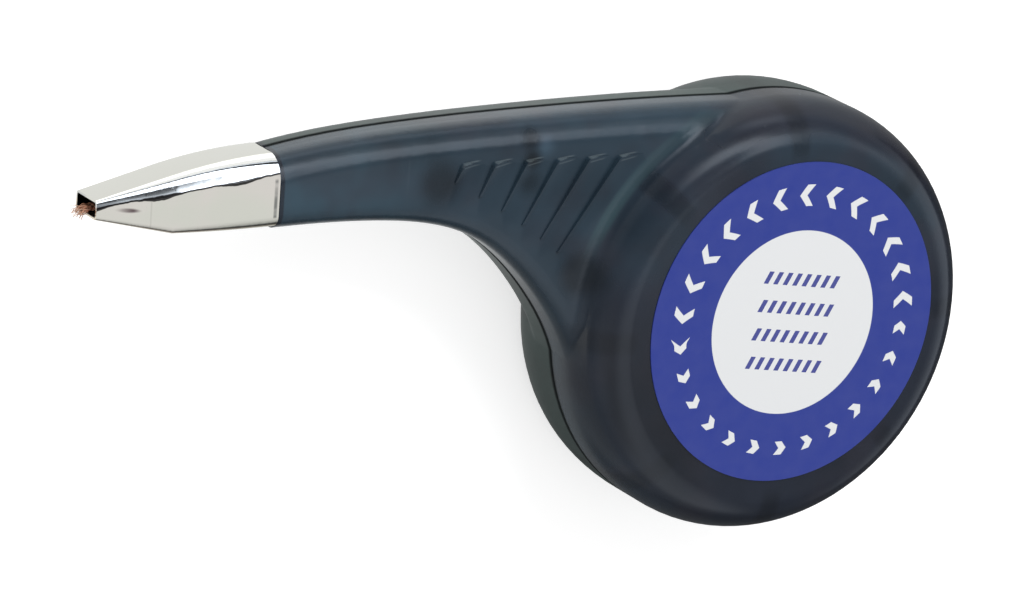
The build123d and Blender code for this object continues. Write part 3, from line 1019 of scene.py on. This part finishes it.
def makeBraid(setting):
    low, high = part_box("wick_end")
    middle = Vector(((low.x + high.x) / 2, (low.y + high.y) / 2, (low.z + high.z) / 2))
    chance = random.Random(setting["seed"])
    curve = bpy.data.curves.new("braidCurve", "CURVE")
    curve.dimensions = "3D"
    curve.bevel_depth = setting["wireR"] * mm
    curve.bevel_resolution = 0
    curve.use_fill_caps = True
    start, end = high.x / mm, low.x / mm + setting["wireR"]
    girth = 4 * (setting["halfWidth"] - setting["layer"]) + 2 * math.pi * setting["layer"]
    for way in (1, -1):
        for carrier in range(setting["carriers"]):
            for wire in range(setting["wires"]):
                offset = (wire - (setting["wires"] - 1) / 2) * setting["gap"] / girth
                phase = carrier / setting["carriers"] + offset
                stop = end + chance.random() * setting["ragged"]
                lean = Vector((chance.gauss(*setting["droop"]), chance.gauss(*setting["sideways"])))
                points = [
                    (x * mm, middle.y + flat.x * mm, middle.z + flat.y * mm)
                    for x, flat in wirePath(start, stop, end, phase, way, lean, setting)
                ]
                spline = curve.splines.new("POLY")
                spline.points.add(len(points) - 1)
                for point, co in zip(spline.points, points):
                    point.co = co + (1,)
    holder = bpy.data.objects.new("braidCurve", curve)
    mesh = bpy.data.meshes.new_from_object(holder)
    bpy.data.objects.remove(holder)
    for face in mesh.polygons:
        face.use_smooth = True
    braid = bpy.data.objects.new("wickBraid", mesh)
    bpy.context.scene.collection.objects.link(braid)
    mesh.materials.clear()
    mesh.materials.append(copperMaterial("copperWire", copperSet, False))
    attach(braid, "wick")
    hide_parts("wick_end")
    print("braid made:", len(mesh.polygons), "faces")


makeBraid(braidSet)


# label: printed film, with chevrons round the ring and rows of strokes in the middle

labelSet = {  # mm
    "middle": (0.75, 0.4),
    "whiteR": 10.35,
    "soften": 0.04,
    "blue": (0.014, 0.031, 0.245, 1),
    "white": (0.70, 0.71, 0.72, 1),
    "ink": (0.05, 0.06, 0.26, 1),
    "roughness": 0.42,
    "cloudScale": 500.0,
    "cloudShare": 0.04,
    "cloudRough": 0.08,
    "scuffs": 0.5,
    "cloudHeight": 0.004,
    "scuffRough": 0.15,
    # chevrons
    "ringR": 14.3,
    "count": 26,
    "slant": 0.22,
    "half": (0.75, 1.2),  # half height of the lower ones and of the upper ones
    "halfFrom": (-0.1, 0.0),
    "stroke": (0.12, 0.15, 1.0, 0.0),
    # rows of strokes
    "rowLean": -9,  # degrees
    "rowStep": 3.2,
    "rowHalf": 0.7,
    "rowsHalf": 6.4,
    "tickStep": 0.8,  # strokes for each mm
    "tickSlant": -0.3,
    "tickHalf": 0.24,  # share of the step
    "ticksHalf": 4.0,  # steps
}


def chevronMask(tree, radius, turn, setting):
    off = distance(tree, radius, setting["ringR"])
    part = multiply(tree, off, setting["slant"])
    part = mathNode(tree, "FRACT", mathNode(tree, "MULTIPLY_ADD", turn, setting["count"] / math.tau, part))
    upper = ramp(tree, mathNode(tree, "SINE", turn), *setting["halfFrom"])
    half = ramp(tree, upper, 0.0, 1.0, *setting["half"])
    stroke = ramp(tree, distance(tree, part, 0.5), *setting["stroke"])
    return multiply(tree, mathNode(tree, "LESS_THAN", off, half), stroke)


def within(tree, value, limit):
    return mathNode(tree, "LESS_THAN", mathNode(tree, "ABSOLUTE", value), limit)


def rowMask(tree, x, y, setting):
    lean = math.radians(setting["rowLean"])
    cosine, sine = math.cos(lean), math.sin(lean)
    along = mathNode(tree, "ADD", multiply(tree, x, cosine), multiply(tree, y, sine))
    down = mathNode(tree, "SUBTRACT", multiply(tree, y, cosine), multiply(tree, x, sine))
    row = mathNode(tree, "FRACT", mathNode(tree, "DIVIDE", down, setting["rowStep"]))
    row = multiply(tree, mathNode(tree, "SUBTRACT", row, 0.5), setting["rowStep"])
    rows = within(tree, row, setting["rowHalf"])
    rows = multiply(tree, rows, within(tree, down, setting["rowsHalf"]))
    slant = multiply(tree, row, setting["tickSlant"])
    slant = mathNode(tree, "MULTIPLY_ADD", along, setting["tickStep"], slant)
    ticks = mathNode(tree, "SUBTRACT", mathNode(tree, "FRACT", slant), 0.5)
    ticks = within(tree, ticks, setting["tickHalf"])
    return multiply(tree, rows, ticks, within(tree, slant, setting["ticksHalf"]))


def labelMaterial(setting):
    material, tree, shader = newMaterial("printedFilm")
    place, x, y = objectPlace(tree)[:3]
    middleX, middleY = setting["middle"]
    x = mathNode(tree, "SUBTRACT", mathNode(tree, "DIVIDE", x, mm), middleX)
    y = mathNode(tree, "SUBTRACT", mathNode(tree, "DIVIDE", y, mm), middleY)
    radius = radiusOf(tree, x, y)
    low, high = (setting["whiteR"] + sign * setting["soften"] for sign in (-1, 1))
    inside = ramp(tree, radius, low, high, 1.0, 0.0)
    marks = chevronMask(tree, radius, mathNode(tree, "ARCTAN2", y, x), setting)
    ring = mixColor(tree, marks, setting["blue"], setting["white"])
    disc = mixColor(tree, rowMask(tree, x, y, setting), setting["white"], setting["ink"])
    color = mixColor(tree, inside, ring, disc)
    cloud = noise(tree, place, setting["cloudScale"], 3.0)
    color = mixColor(tree, multiply(tree, cloud, setting["cloudShare"]), color, (0.5, 0.5, 0.5, 1))
    plug(tree, color, shader.inputs["Base Color"])
    scuffs = useGroup(tree, scuff, {"Amount": setting["scuffs"]})["Mask"]
    cloudRough = setting["cloudRough"]
    rough = mathNode(tree, "MULTIPLY_ADD", cloud, cloudRough, setting["roughness"] - cloudRough / 2)
    rough = mathNode(tree, "MULTIPLY_ADD", scuffs, setting["scuffRough"], rough)
    plug(tree, rough, shader.inputs["Roughness"])
    plug(tree, bump(tree, cloud, setting["cloudHeight"] * mm), shader.inputs["Normal"])
    return material


dress(labelMaterial(labelSet), "label")
print("label dressed")
